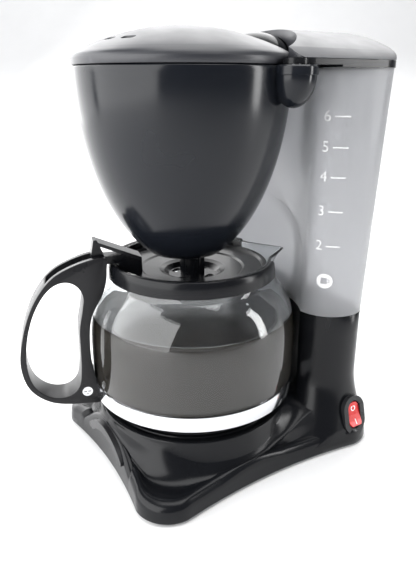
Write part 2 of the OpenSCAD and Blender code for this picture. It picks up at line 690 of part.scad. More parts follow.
// ---------- jug ----------

// Outside profile of the glass as (radius, height above the jug's foot).
JUG_OUT = [[50, 0], [56, 3.2], [59.6, 8], [61.2, 14], [62, 22], [62.3, 36], [61.9, 48],
  [60.2, 58], [56.4, 67], [51.6, 73.4], [47.8, 78], [46.6, 83], [46.6, 88]];

module glass_solid(t, z1) rotate_extrude() polygon(concat(
  [[0, t]], [for (p = curve(JUG_OUT, 4)) if (p[1] <= z1) [p[0] - t, max(p[1], t)]],
  [[46.6 - t, z1 + t], [0, z1 + t]]));

// Pouring lip, opposite the handle.
module lip(t) hull() {
  translate([0, 34, 72]) cylinder(r = 14 - t, h = 1, $fn = 32);
  translate([0, 34, 87]) cylinder(r = 14 - t, h = 1 + t, $fn = 32);
  translate([0, 53, 83]) cylinder(r = 6.5 - t, h = 0.6 + t, $fn = 32);
}

module jug_glass() color([0.75, 0.78, 0.8, 0.35]) in_jug() translate([0, 0, jug_z]) difference() {
  union() {
    glass_solid(0, 88);
    lip(0);
  }
  glass_solid(2, 88);
  lip(1.8);
}

module jug_collar() color([0.12, 0.12, 0.13]) {
  difference() {
    in_jug() rotate([0, 0, 90 + 32]) rotate_extrude(angle = 360 - 64) polygon([
      [48.2, 112.9], [49.8, 112.9], [49.6, 118], [48.8, 121.6], [48, 122.5], [46.8, 122.5],
      [46.4, 121.8], [46.9, 121.4], [46.9, 116.6]]);
    on_handle(9.2) translate([44, 116]) square([20, 20]);
  }
  on_handle(8.6) polygon([[48.4, 112.9], [62, 112.9], [62, 115.4], [48.4, 115.4]]);
}

// Side view of the handle: a thin outer strap closing on a solid upright.
HANDLE_OUT = loop([[52, 127.5], [62, 127], [75, 122.5], [84, 116.5], [92, 106], [97.5, 94],
  [101, 82], [103, 70], [101.5, 58], [97, 49.5], [89, 43], [80, 40], [70, 38.8], [59, 38.4],
  [58, 46], [62.2, 56], [63.8, 68], [63.6, 82], [61.5, 94], [55, 106], [52.4, 114], [51.6, 121]], 4);

HANDLE_HOLE = loop([[68.5, 112.5], [74, 115.6], [80.5, 114.5], [86.5, 109.5], [92, 101], [96, 91],
  [98.6, 80], [99.6, 68], [97.8, 57], [93, 49.6], [86, 45.2], [78, 45], [72, 50], [70, 60],
  [69.4, 74], [69, 86], [66.6, 98], [65.6, 106]], 4);

module jug_handle() color([0.1, 0.1, 0.11]) difference() {
  on_handle(handle_w) difference() {
    polygon(HANDLE_OUT);
    polygon(HANDLE_HOLE);
  }
  on_handle(9.4) polygon([[45, 112.2], [64.6, 112.2], [64.6, 120.5], [76, 117.6], [84, 113.5],
    [90, 118], [70, 140], [45, 140]]);
  in_jug() translate([0, 0, jug_z]) glass_solid(-0.3, 88);
  in_jug() translate([0, 0, 36]) cylinder(r = 62.4, h = 18);
  on_handle(3.4) translate([55, 40.5]) square([17, 11.5]);
  on_handle(30) translate([screw_u, screw_z]) circle(1.6);
  in_jug() translate([0, -screw_u, screw_z]) for (s = [-1, 1]) rotate([0, s * 90, 0])
    translate([0, 0, handle_w / 2 - 1.6]) cylinder(r = 3.2, h = 4);
  on_handle(30) translate([pin_u, pin_z]) circle(1.5);
}

// Polished band round the jug's foot, its two ears drawn together in the handle.
module jug_strap() color([0.8, 0.8, 0.82]) difference() {
  union() {
    in_jug() rotate_extrude() polygon([[61.3, 41.5], [62, 41.5], [62.3, 50.5], [61.6, 50.5]]);
    for (s = [-1, 1]) in_jug() translate([s * 1.1 - 0.4, -71, 41.8]) cube([0.8, 10, 8.6]);
  }
  in_jug() translate([-0.7, -66, 40]) cube([1.4, 8, 14]);
  in_jug() translate([0, 0, jug_z]) glass_solid(0, 88);
  on_handle(30) translate([screw_u, screw_z]) circle(1.6);
}

module strap_screw() color([0.8, 0.8, 0.82]) in_jug() translate([0, -screw_u, screw_z])
  rotate([0, 90, 0]) difference() {
    union() {
      cylinder(r = 1.5, h = handle_w - 3, center = true);
      translate([0, 0, handle_w / 2 - 1.6]) cylinder(r = 3, h = 1.4);
      translate([0, 0, -handle_w / 2 + 0.2]) cylinder(r = 2.8, h = 1.4);
    }
    for (a = [0, 90]) rotate([0, 0, a]) translate([-2, -0.35, handle_w / 2 - 0.8]) cube([4, 0.7, 2]);
  }

module jug_lid() color([0.1, 0.1, 0.11]) {
  in_jug() difference() {
    rotate_extrude() polygon([[0, 109.4], [15.5, 109.4], [18.5, 112.6], [30, 113.4], [40, 114.6],
      [44.2, 115.2], [44.2, 118.4], [41.8, 118.4], [40.8, 117], [31, 116], [29.6, 115.2], [19.6, 114.6],
      [16.8, 113.6], [14, 111.2], [0, 111.2]]);
    for (a = [45 : 90 : 315]) rotate([0, 0, a]) translate([11.2, 0, 100]) rotate([0, 0, 90])
      slot(7, 1.9, 20);
  }
  in_jug() translate([0, 0, 110]) tube(5.6, 7.3, ring_z - 110);
  difference() {
    union() {
      on_handle(8.6) polygon([[31, 115.6], [31, 124.6], [42, 127.5], [52, 127.5], [54.2, 134],
        [55.8, 137.4], [57.6, 137], [59, 130], [60.2, 120], [59.6, 117], [57, 115.8], [54.6, 117],
        [53.6, 119], [53.6, 122.9], [44.6, 122.9], [43.6, 117.6], [43.6, 115.6]]);
      on_handle(12) polygon([[31.8, 123.6], [55.6, 134.4], [55.2, 136.2], [31.2, 125.8]]);
    }
    on_handle(30) translate([pin_u, pin_z]) circle(1.55);
  }
}

module jug_lid_pin() color([0.75, 0.75, 0.77]) in_jug() translate([0, -pin_u, pin_z])
  rotate([0, 90, 0]) cylinder(r = 1.5, h = handle_w - 1, center = true);

base_housing();
pillar_housing();
bottom_cover();
cover_screws();
rubber_feet();
front_trim();
hot_plate();
heating_rod();
water_tube();
heater_clamp();
clamp_screw();
thermostat();
thermal_fuse();
inlet_hose();
outlet_hose();
hose_clips();
check_valve();
mains_gland();
terminal_block();
switch_bezel();
switch_rocker();
switch_contacts();
water_tank();
level_marks();
riser_seal();
riser_tube();
top_frame();
tank_lid();
lid_hinge_pins();
dome_cover();
dome_screws();
spray_head();
brew_funnel();
funnel_hinge_pin();
filter_basket();
filter_mesh();
drip_cage();
drip_spring();
drip_stem();
drip_seal();
jug_glass();
jug_collar();
jug_handle();
jug_strap();
strap_screw();
jug_lid();
jug_lid_pin();
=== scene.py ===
"""Visual model of the drip coffee maker: its pieces, materials, light and camera.

Plan positions are in millimetres from the jug's axis, with the front towards -Y; heights start at the table.
"""

import json
import math

import bmesh
import bpy
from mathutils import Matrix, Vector


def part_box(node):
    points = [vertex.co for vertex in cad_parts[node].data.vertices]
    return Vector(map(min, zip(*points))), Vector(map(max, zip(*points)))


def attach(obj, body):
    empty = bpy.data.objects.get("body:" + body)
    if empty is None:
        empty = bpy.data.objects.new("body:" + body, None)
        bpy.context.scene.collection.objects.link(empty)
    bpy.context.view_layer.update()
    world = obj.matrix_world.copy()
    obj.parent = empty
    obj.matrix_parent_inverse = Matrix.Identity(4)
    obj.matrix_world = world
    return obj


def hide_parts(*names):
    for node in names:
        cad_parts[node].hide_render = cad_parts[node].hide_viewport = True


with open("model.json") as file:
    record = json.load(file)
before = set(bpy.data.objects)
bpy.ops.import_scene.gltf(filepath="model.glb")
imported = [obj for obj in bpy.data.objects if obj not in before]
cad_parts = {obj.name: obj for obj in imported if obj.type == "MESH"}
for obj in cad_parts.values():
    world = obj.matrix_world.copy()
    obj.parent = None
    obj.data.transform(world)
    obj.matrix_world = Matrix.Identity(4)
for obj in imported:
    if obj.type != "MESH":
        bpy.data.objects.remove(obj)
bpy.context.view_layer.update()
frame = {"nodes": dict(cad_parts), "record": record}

MM = 0.001
TAU = 2 * math.pi


def centre_mm(node):
    """Middle of a node's box, in millimetres."""
    low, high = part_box(node)
    return (low + high) / 2 / MM


AXIS = centre_mm("hot_plate")                 # the jug's axis
HEAD = centre_mm("drip_seal") - AXIS          # the brew head's axis, from the jug's
HINGE = centre_mm("funnel_hinge_pin") - AXIS  # the funnel's upright hinge
TURN = math.radians(15)                       # the jug stands turned on its plate

BASE_W, BASE_FRONT, BASE_REAR = 140, 66, 98
BASE_CORNER = 20                              # corner radius of the base's plan
SIDE_SAG, FRONT_SAG = 5.5, 4.5                # how far the base's sides and front are drawn in
SIDE_SAG_Y, SIDE_SAG_HALF = 16, 62            # middle and half length of the sides' sag
FRONT_SAG_HALF = 50
FLARE_TOP, FLARE_H = 46, 40                   # where the pillar's foot starts to spread, and over what height
FLARE_SIDE, FLARE_FRONT, FLARE_REAR = 12, 18, 4.6
FOOT_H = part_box("base_housing")[0].z / MM     # the housing's lower edge
PODIUM_R = 60                                 # foot of the podium that carries the round seat
SEAT_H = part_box("hot_plate")[1].z / MM - 1    # crest of the round seat

TANK_Z = 87
TANK_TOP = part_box("water_tank")[1].z / MM
TANK_X0, TANK_X1 = 58, 61                     # half widths at the foot and the top
TANK_Y = (55, 93, 97)                         # front wall, rear wall at the foot and the top
TANK_CORNERS = (22, 15)                       # front and rear corner radii
NICHE_R = 66                                  # the niche behind the jug and the funnel
NICHE_TOP = 117.5                             # where the niche's dome starts
WALL = 2.2

FRAME_TOP = 229.6
LID_SEAT = FRAME_TOP + 0.3
LID_ARC = 117                                 # radius of the tank lid's crown across the machine
LID_PIN = (95.6, 232.6)                       # y and height of the tank lid's hinge
LID_PIN_X = 38.4                              # its two barrels stand at +/- this
RIM_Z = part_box("brew_funnel")[1].z / MM
RIM_R = 57.2
FUNNEL_AXIS = 106.6                           # vertical half axis of the funnel's elliptic profile
FUNNEL_FLOOR = 127
DOME_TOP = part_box("dome_cover")[1].z / MM
DOME_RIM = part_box("dome_cover")[0].z / MM
DOME_ARC = 119                                # radius of the dome's crown
DOME_GAP_R = 58.4                             # the tank's lid is cut out round the dome
HOOD = (0, 42, 218)                           # centre of the ball that the pipe's hood is cut from
HOOD_R = 27
HOOD_GAP = 0.6                                # between the hood and the tank's lid
KNUCKLE_R = 11.2                              # the funnel's hinge knuckle

JUG_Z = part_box("jug_glass")[0].z / MM
JUG_STEPS = 160
COFFEE_Z = 90
SCREW_U, SCREW_Z = 67.5, 46.4                 # the strap's screw, out along the handle and up


# ---------------------------------------------------------------- materials

def node_tree(name):
    mat = bpy.data.materials.new(name)
    mat.use_nodes = True
    return mat, mat.node_tree.nodes, mat.node_tree.links, mat.node_tree.nodes["Principled BSDF"]


def noise(nodes, links, scale, detail=3.0, stretch=(1, 1, 1)):
    coords = nodes.new("ShaderNodeTexCoord")
    mapping = nodes.new("ShaderNodeMapping")
    mapping.inputs["Scale"].default_value = stretch
    texture = nodes.new("ShaderNodeTexNoise")
    texture.inputs["Scale"].default_value = scale
    texture.inputs["Detail"].default_value = detail
    links.new(coords.outputs["Object"], mapping.inputs["Vector"])
    links.new(mapping.outputs["Vector"], texture.inputs["Vector"])
    return texture.outputs["Fac"]


NOISE_SPAN = (0.3, 0.7)     # a noise texture mostly stays between these
EDGE_HIGHLIGHT_SPAN = (0.53, 0.62)  # pointiness where the painted edge highlight starts, and where it is full


def ranged(nodes, links, source, low, high, span=NOISE_SPAN):
    """Maps a value's span to low and high."""
    remap = nodes.new("ShaderNodeMapRange")
    for socket, value in zip(("From Min", "From Max", "To Min", "To Max"), (*span, low, high)):
        remap.inputs[socket].default_value = value
    links.new(source, remap.inputs["Value"])
    return remap.outputs["Result"]


def mixed(nodes, links, factor, first, second):
    """Mixes two colours, each a plain colour or another node's output."""
    mix = nodes.new("ShaderNodeMix")
    mix.data_type = "RGBA"
    for socket, colour in (("A", first), ("B", second)):
        if isinstance(colour, tuple):
            mix.inputs[socket].default_value = (*colour, 1)
        else:
            links.new(colour, mix.inputs[socket])
    links.new(factor, mix.inputs["Factor"])
    return mix.outputs["Result"]


def relief(nodes, links, shader, height, strength, depth_mm):
    bump = nodes.new("ShaderNodeBump")
    bump.inputs["Strength"].default_value = strength
    bump.inputs["Distance"].default_value = depth_mm * MM
    links.new(height, bump.inputs["Height"])
    links.new(bump.outputs["Normal"], shader.inputs["Normal"])


def surface(name, colour, rough, spread=0.04, shade=0.25, grain=900, bump=0.0, bump_mm=0.02,
            metal=0.0, edge=0.0, shine=0.5, stretch=(1, 1, 1)):
    """A worked surface: colour and roughness drift, a fine grain, and paler convex edges painted on as a
    highlight.
    """
    mat, nodes, links, shader = node_tree(name)
    drift = ranged(nodes, links, noise(nodes, links, 18), 0, 1)
    top = mixed(nodes, links, drift, tuple(c * (1 - shade) for c in colour), colour)
    # edge sets the strength of a painted highlight: convex edges, found by pointiness, are paled towards grey
    if edge:
        geometry = nodes.new("ShaderNodeNewGeometry")
        painted_edge_highlight = ranged(nodes, links, geometry.outputs["Pointiness"], 0, edge, EDGE_HIGHLIGHT_SPAN)
        top = mixed(nodes, links, painted_edge_highlight, top, tuple(min(1, c * 2.5 + 0.04) for c in colour))
    links.new(top, shader.inputs["Base Color"])
    fine = noise(nodes, links, 60, 4, stretch)
    uneven = ranged(nodes, links, fine, max(rough - spread, 0.02), rough + spread)
    links.new(uneven, shader.inputs["Roughness"])
    shader.inputs["Metallic"].default_value = metal
    shader.inputs["Specular IOR Level"].default_value = shine
    if bump:
        relief(nodes, links, shader, noise(nodes, links, grain, 2, stretch), bump, bump_mm)
    return mat


def clear(name, colour, rough, ior, frost=0.0, see_through=1.0):
    """A transparent moulding or glass, slightly uneven."""
    mat, nodes, links, shader = node_tree(name)
    drift = ranged(nodes, links, noise(nodes, links, 14), 0, 1)
    tint = mixed(nodes, links, drift, tuple(c * 0.92 for c in colour), colour)
    links.new(tint, shader.inputs["Base Color"])
    uneven = ranged(nodes, links, noise(nodes, links, 40), rough, rough + frost)
    links.new(uneven, shader.inputs["Roughness"])
    shader.inputs["Transmission Weight"].default_value = see_through
    shader.inputs["IOR"].default_value = ior
    relief(nodes, links, shader, noise(nodes, links, 25), 0.05, 0.1)
    return mat


# edge gives a material its painted highlight along convex edges
GLOSS = surface("gloss_black", (0.006, 0.0065, 0.008), 0.22, 0.03,
                bump=0.03, grain=300, edge=0.1, shine=0.24)
FUNNEL = surface("funnel_black", (0.0075, 0.009, 0.0125), 0.17, 0.03,
                 bump=0.04, grain=300, edge=0.1, shine=0.32)
SATIN = surface("satin_black", (0.009, 0.009, 0.0105), 0.3, 0.05,
                bump=0.12, grain=1500, edge=0.25, shine=0.3)
COVER = surface("cover_black", (0.03, 0.031, 0.037), 0.36, 0.04,
                bump=0.2, grain=2500, edge=0.2, shine=0.5)
SMOKE = clear("smoky_plastic", (0.68, 0.685, 0.7), 0.28, 1.25, 0.08, 0.77)
GLASS = clear("jug_glass", (0.93, 0.95, 0.96), 0.0, 1.45)
POLISHED = surface("polished_steel", (0.82, 0.83, 0.85), 0.12, 0.04, 0.1, metal=1.0, stretch=(1, 1, 12))
ZINC = surface("zinc_steel", (0.55, 0.56, 0.58), 0.3, 0.08, metal=1.0, bump=0.1)
PLATE = surface("plate_coating", (0.04, 0.04, 0.045), 0.4, 0.06, bump=0.3, grain=2000)
ALLOY = surface("cast_alloy", (0.6, 0.61, 0.62), 0.4, 0.08, metal=1.0, bump=0.3, grain=1200)
SHEATH = surface("rod_sheath", (0.25, 0.24, 0.23), 0.45, 0.1, metal=1.0, bump=0.2)
RUBBER = surface("rubber", (0.02, 0.02, 0.02), 0.7, 0.08, bump=0.3)
SILICONE = surface("silicone_hose", (0.75, 0.75, 0.7), 0.5, 0.06, bump=0.1)
SEAL = surface("seal_silicone", (0.6, 0.16, 0.08), 0.5, 0.05, bump=0.1)
CERAMIC = surface("ceramic", (0.8, 0.78, 0.7), 0.6, 0.08, bump=0.2)
BRASS = surface("brass", (0.7, 0.5, 0.2), 0.3, 0.08, metal=1.0)
RED = surface("red_rocker", (0.62, 0.012, 0.012), 0.22, 0.03, 0.12, bump=0.05, edge=0.3)
PRINT = surface("white_print", (0.9, 0.9, 0.9), 0.5, 0.05, 0.05)
WHITE = surface("white_plastic", (0.8, 0.8, 0.78), 0.4, 0.05, 0.08, bump=0.1)
GAUZE = surface("filter_gauze", (0.7, 0.63, 0.45), 0.6, 0.1, bump=0.6, grain=3000, bump_mm=0.1)
COFFEE = surface("coffee", (0.04, 0.034, 0.027), 0.2, 0.04, 0.3)

SLOTS = {"gloss_black": GLOSS, "satin_black": SATIN, "cover_plastic": COVER, "smoky_tank": SMOKE,
         "clear_glass": GLASS, "polished_steel": POLISHED, "zinc_steel": ZINC, "plate_coating": PLATE,
         "cast_alloy": ALLOY, "rod_sheath": SHEATH, "foot_rubber": RUBBER, "hose_silicone": SILICONE,
         "seal_silicone": SEAL, "ceramic": CERAMIC, "brass_terminal": BRASS, "red_rocker": RED,
         "white_print": PRINT, "white_plastic": WHITE, "filter_gauze": GAUZE}
NODE_SLOT = {part["node"]: part["material_slot"] for part in frame["record"]["subparts"]}
BODY_OF = {n: b for b, names in frame["record"]["behaviour"]["bodies"].items() for n in names}
for name, slot_name in NODE_SLOT.items():
    cad = frame["nodes"][name].data
    cad.materials.clear()
    cad.materials.append(GLOSS if name == "jug_lid" else SLOTS[slot_name])


# ---------------------------------------------------------------- shape tools

def smooth_curve(points, steps, closed=False):
    """Catmull-Rom curve through the points."""
    n = len(points)
    out = []
    for i in range(n if closed else n - 1):
        if closed:
            p = [points[(i + k) % n] for k in (-1, 0, 1, 2)]
        else:
            p = [points[max(i - 1, 0)], points[i], points[i + 1], points[min(i + 2, n - 1)]]
        for k in range(steps):
            t = k / steps
            out.append(tuple(0.5 * (2 * b + (c - a) * t + (2 * a - 5 * b + 4 * c - d) * t * t
                                    + (3 * b - a - 3 * c + d) * t ** 3) for a, b, c, d in zip(*p)))
    if not closed:
        out.append(tuple(points[-1]))
    return out


def arc(cx, cy, r, a0, a1, steps):
    """Points on an arc, angles in degrees, both ends included."""
    angles = [math.radians(a0 + (a1 - a0) * k / steps) for k in range(steps + 1)]
    return [(cx + r * math.cos(a), cy + r * math.sin(a)) for a in angles]


def ring(cx, cy, r, steps):
    """Points on a full circle."""
    return arc(cx, cy, r, 0, 360, steps)[:-1]


def make(name, verts, faces, material, smooth=40):
    """An object from millimetre points about the jug's axis, shaded smooth below an angle."""
    mesh = bpy.data.meshes.new(name)
    mesh.from_pydata([((x + AXIS.x) * MM, (y + AXIS.y) * MM, z * MM) for x, y, z in verts], [], faces)
    mesh.materials.append(material)
    obj = bpy.data.objects.new(name, mesh)
    bpy.context.scene.collection.objects.link(obj)
    bm = bmesh.new()
    bm.from_mesh(mesh)
    bmesh.ops.remove_doubles(bm, verts=bm.verts, dist=1e-6)
    bmesh.ops.recalc_face_normals(bm, faces=bm.faces)
    bm.to_mesh(mesh)
    bm.free()
    shade(obj, smooth)
    return obj


def shade(obj, angle):
    """Shades smooth, except over edges sharper than an angle in degrees."""
    mesh = obj.data
    mesh.polygons.foreach_set("use_smooth", [True] * len(mesh.polygons))
    bm = bmesh.new()
    bm.from_mesh(mesh)
    for edge in bm.edges:
        edge.smooth = len(edge.link_faces) == 2 and edge.calc_face_angle(0) < math.radians(angle)
    bm.to_mesh(mesh)
    bm.free()


def skin(name, loops, material, smooth=40):
    """Quads between neighbouring closed loops of equal length, with a flat cap at both ends."""
    n = len(loops[0])
    verts = [p for loop in loops for p in loop]
    faces = []
    for i in range(len(loops) - 1):
        for k in range(n):
            a, b = i * n + k, i * n + (k + 1) % n
            faces.append((a, b, b + n, a + n))
    faces.append(tuple(range(n))[::-1])
    faces.append(tuple(range((len(loops) - 1) * n, len(loops) * n)))
    return make(name, verts, faces, material, smooth)


def strip(name, rows, material, joined_up=False, smooth=40):
    """Quads between neighbouring open rows of equal length; joined up, the last meets the first."""
    n = len(rows[0])
    verts = [p for row in rows for p in row]
    faces = []
    for i in range(len(rows) if joined_up else len(rows) - 1):
        for k in range(n - 1):
            a, b = i * n + k, (i + 1) % len(rows) * n + k
            faces.append((a, b, b + 1, a + 1))
    return make(name, verts, faces, material, smooth)


def lathe(name, profile, material, centre=(0, 0), segments=128, sweep=(0, 360)):
    """Revolves (radius, height) points about an upright axis; a part turn gets flat ends."""
    span = sweep[1] - sweep[0]
    full = span >= 360
    steps = segments if full else int(segments * span / 360)
    angles = [math.radians(sweep[0] + span * k / steps) for k in range(steps + (not full))]
    sections = [[(centre[0] + r * math.cos(a), centre[1] + r * math.sin(a), z) for r, z in profile]
                for a in angles]
    if full:
        return strip(name, sections, material, joined_up=True)
    return skin(name, sections, material)


def stack(name, outline_at, levels, material):
    """A closed form through the plan outlines at these heights."""
    return skin(name, [[(x, y, z) for x, y in outline_at(z)] for z in levels], material)


def prism(name, outline, z0, z1, material):
    return stack(name, lambda z: outline, (z0, z1), material)


def applied(obj):
    """Bakes the object's modifiers into its mesh."""
    graph = bpy.context.evaluated_depsgraph_get()
    mesh = bpy.data.meshes.new_from_object(obj.evaluated_get(graph))
    obj.modifiers.clear()
    obj.data = mesh
    return obj


def combine(obj, other, operation, smooth=40):
    """Boolean of two closed objects; the second one is used up."""
    step = obj.modifiers.new("combine", "BOOLEAN")
    step.operation = operation
    step.object = other
    step.solver = "EXACT"
    applied(obj)
    bpy.data.objects.remove(other)
    shade(obj, smooth)
    return obj


def bevelled(obj, width, segments=3, angle=50):
    """Rounds the edges sharper than an angle, in degrees, by a width in millimetres."""
    step = obj.modifiers.new("bevel", "BEVEL")
    step.width = width * MM
    step.segments = segments
    step.limit_method = "ANGLE"
    step.angle_limit = math.radians(angle)
    step.harden_normals = False
    applied(obj)
    shade(obj, 60)
    return obj


def joined(name, objects):
    """One object of several; the first keeps its place and takes the name."""
    first = objects[0]
    first.name = name
    bm = bmesh.new()
    for o in objects:
        bm.from_mesh(o.data)
    bm.to_mesh(first.data)
    bm.free()
    for o in objects[1:]:
        bpy.data.objects.remove(o)
    return first


def finish_piece(obj, node):
    """The piece stands for a CAD node, which it hides, and rides on its body."""
    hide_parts(node)
    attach(obj, BODY_OF[node])


def extra_piece(obj, body):
    """The piece adds to the CAD and rides on the body it is given."""
    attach(obj, body)


# ---------------------------------------------------------------- outlines

def d_outline(half, y0, y1, rf, rr, steps=14):
    """Plan outline over x = +/-half with its own front and rear corner radii."""
    return (arc(half - rr, y1 - rr, rr, 0, 90, steps) + arc(-half + rr, y1 - rr, rr, 90, 180, steps)
            + arc(-half + rf, y0 + rf, rf, 180, 270, steps) + arc(half - rf, y0 + rf, rf, 270, 360, steps))


def tank_outline(z, inset=0):
    t = (z - TANK_Z) / (TANK_TOP - TANK_Z)
    half = TANK_X0 + (TANK_X1 - TANK_X0) * t - inset
    rear = TANK_Y[1] + (TANK_Y[2] - TANK_Y[1]) * t - inset
    return d_outline(half, TANK_Y[0] + inset, rear, TANK_CORNERS[0] - inset, TANK_CORNERS[1] - inset)


def from_jug(x, y):
    """From the jug's own frame, with its handle on -Y, to the machine's."""
    return (x * math.cos(TURN) + y * math.sin(TURN), -x * math.sin(TURN) + y * math.cos(TURN))


def on_handle(u, v, z):
    """A point u out along the handle and v to its right."""
    x, y = from_jug(v, -u)
    return (x, y, z)


def box_outline(x, half, y0, y1):
    return [(x - half, y0), (x + half, y0), (x + half, y1), (x - half, y1)]


def divided(outline, gap):
    """The closed outline with points added, about a gap apart."""
    out = []
    for k, (x0, y0) in enumerate(outline):
        x1, y1 = outline[(k + 1) % len(outline)]
        steps = max(1, int(math.hypot(x1 - x0, y1 - y0) / gap))
        out += [(x0 + (x1 - x0) * j / steps, y0 + (y1 - y0) * j / steps) for j in range(steps)]
    return out


# ---------------------------------------------------------------- base

# Heights round the base by angle from the front: podium's foot, valley, lip.
DECK = [(0, 29, 28, 27), (12, 30, 26, 25.8), (25, 28.8, 19, 21), (33, 27.6, 14.5, 17),
        (42, 25.8, 12.2, 13.4), (52, 22, 11.6, 13), (64, 18.4, 12, 13.6), (80, 17.4, 13.6, 15.2),
        (95, 17.4, 15.4, 16),
        (104, 18.2, 16.2, 15.4), (112, 21, 18, 14.4), (120, 26, 20, 13.4), (128, 30, 23, 13),
        (136, 32, 26, 13), (150, 32, 29, 13), (180, 32, 30, 13)]

# The front's lip is an arch: its radius and the height of its centre. Over the first half width it is the
# arch alone, and out to the second it is the higher of the arch and the listed lip.
ARCH_R, ARCH_Z, ARCH_FREE, ARCH_HALF = 60, -33, 36, 42
LIP_DROP, LIP_ROLL = 6, 7                     # height and greatest width of the lip's rounded shoulder
VALLEY_AT = 0.42                              # where the valley lies between the podium and the edge

# The round seat from its edge inwards, as radius and depth under its crest: outer crest, groove, inner
# crest, and the recess that the hot plate stands in.
SEAT_RINGS = [(58.2, 1), (57.9, 0.3), (57.2, 0), (55.6, 0), (55.3, 0.7), (53.3, 0.7), (53, 0), (50.9, 0),
              (50.4, 0.4), (50.3, 1.6), (46, 1.6), (46, 4)]


def base_outline(inset=0):
    """Plan of the base: four round corners, the sides and front drawn in."""
    corners = d_outline(BASE_W / 2, -BASE_FRONT, BASE_REAR, BASE_CORNER, BASE_CORNER, 12)
    out = []
    for x, y in divided(corners, 4):
        side = SIDE_SAG * max(0, 1 - ((y - SIDE_SAG_Y) / SIDE_SAG_HALF) ** 2)
        front = FRONT_SAG * max(0, 1 - (x / FRONT_SAG_HALF) ** 2) if y < -BASE_FRONT / 2 else 0
        x = math.copysign(min(abs(x), BASE_W / 2 - side), x)
        y = max(y, -BASE_FRONT + front)
        r = math.hypot(x, y)
        out.append((x * (r - inset) / r, y * (r - inset) / r))
    return out


def reach(outline, angle):
    """Distance from the axis to the outline, at an angle."""
    dx, dy = math.cos(angle), math.sin(angle)
    best = 0
    for k, (x0, y0) in enumerate(outline):
        x1, y1 = outline[(k + 1) % len(outline)]
        ex, ey = x1 - x0, y1 - y0
        cross = dx * ey - dy * ex
        if abs(cross) < 1e-9:
            continue
        far = (x0 * ey - y0 * ex) / cross
        along = (x0 * dy - y0 * dx) / cross
        if far > 0 and -1e-6 <= along <= 1 + 1e-6:
            best = max(best, far)
    return best


def deck_heights(angle):
    """Foot, valley and lip heights at an angle from the front, drawn smoothly through the listed ones."""
    k = max(i for i in range(len(DECK) - 1) if DECK[i][0] <= angle + 1e-6)
    before, low, high, after = DECK[max(k - 1, 0)], DECK[k], DECK[k + 1], DECK[min(k + 2, len(DECK) - 1)]
    span = high[0] - low[0]
    t = (angle - low[0]) / span
    heights = []
    for i in (1, 2, 3):
        rise_in = span * (high[i] - before[i]) / (high[0] - before[0])
        rise_out = span * (after[i] - low[i]) / (after[0] - low[0])
        heights.append((2 * t ** 3 - 3 * t ** 2 + 1) * low[i] + (t ** 3 - 2 * t ** 2 + t) * rise_in
                       + (3 * t ** 2 - 2 * t ** 3) * high[i] + (t ** 3 - t ** 2) * rise_out)
    return heights


def eased(t):
    return t * t * (3 - 2 * t)


def base_section(theta, edge):
    """Section of the housing at an angle: its edge, the lip, the valley, the podium and the round seat."""
    from_front = math.degrees(abs((theta + math.pi / 2 + math.pi) % TAU - math.pi))
    foot, valley, lip = deck_heights(from_front)
    x = edge * math.cos(theta)
    if abs(x) < ARCH_HALF and math.sin(theta) < 0:
        lip = max(lip if abs(x) > ARCH_FREE else 0, math.sqrt(ARCH_R ** 2 - x * x) + ARCH_Z)
    room = edge - PODIUM_R
    roll = min(LIP_ROLL, room * 0.7)
    rows = [(edge - 2.4, 9), (edge - 2.2, FOOT_H), (edge - 0.7, FOOT_H), (edge, FOOT_H + 0.8),
            (edge - 0.2, lip * 0.4), (edge - 0.5, lip - LIP_DROP)]
    for c, s in arc(0, 0, 1, 10, 90, 8):
        rows.append((edge - 0.5 - (roll - 0.5) * (1 - c), lip - LIP_DROP * (1 - s)))
    start, low_r = edge - roll, PODIUM_R + room * VALLEY_AT
    tenths = [j / 10 for j in range(1, 11)]
    rows += [(start + (low_r - start) * t, lip + (valley - lip) * eased(t)) for t in tenths]
    rows += [(low_r + (PODIUM_R - 0.6 - low_r) * t, valley + (foot - valley) * t ** 1.8) for t in tenths]
    rows.append((58.7, max(foot + 0.3, min(foot + 1, SEAT_H - 1))))
    return rows + [(r, SEAT_H - depth) for r, depth in SEAT_RINGS]


def build_base():
    outline = base_outline()
    sections = []
    for theta in (math.radians(k) for k in range(360)):
        rows = base_section(theta, reach(outline, theta))
        sections.append([(r * math.cos(theta), r * math.sin(theta), z) for r, z in rows])
    finish_piece(strip("BaseHousing", sections, GLOSS, joined_up=True, smooth=34), "base_housing")


def pillar_outline(z):
    """Plan of the pillar, which spreads towards its foot and draws in a hair at its very top."""
    lean = min(1, max(0, (FLARE_TOP - z) / FLARE_H)) ** 1.7
    grow = 1 if z < TANK_Z - 0.4 else 0.994
    outline = d_outline(TANK_X0 + FLARE_SIDE * lean, TANK_Y[0] - FLARE_FRONT * lean,
                        TANK_Y[1] + FLARE_REAR * lean, *TANK_CORNERS, 16)
    return [(x * grow, y * grow) for x, y in outline]


def build_pillar():
    levels = [1.8, *range(5, 27, 3), 30, 34, 38, 42, 46, 60, 74, TANK_Z - 0.6, TANK_Z - 0.15]
    pillar = stack("Pillar", pillar_outline, levels, GLOSS)
    combine(pillar, prism("Around", base_outline(0.5), -5, 100, GLOSS), "INTERSECT")
    seat_r = PODIUM_R - 1
    niche = lathe("NicheCut", [(0, -10), (seat_r, -10), (seat_r, SEAT_H - 0.6), (NICHE_R, SEAT_H - 0.1),
                               (NICHE_R, 120), (0, 120)], GLOSS, segments=180)
    combine(pillar, niche, "DIFFERENCE")
    bevelled(pillar, 1.2)
    finish_piece(pillar, "pillar_housing")


# ---------------------------------------------------------------- brew head

def funnel_r(z, inset=0):
    """Radius of the funnel's elliptic wall at a height."""
    return (RIM_R - inset) * math.sqrt(max(0, 1 - ((RIM_Z - z) / (FUNNEL_AXIS - inset)) ** 2))


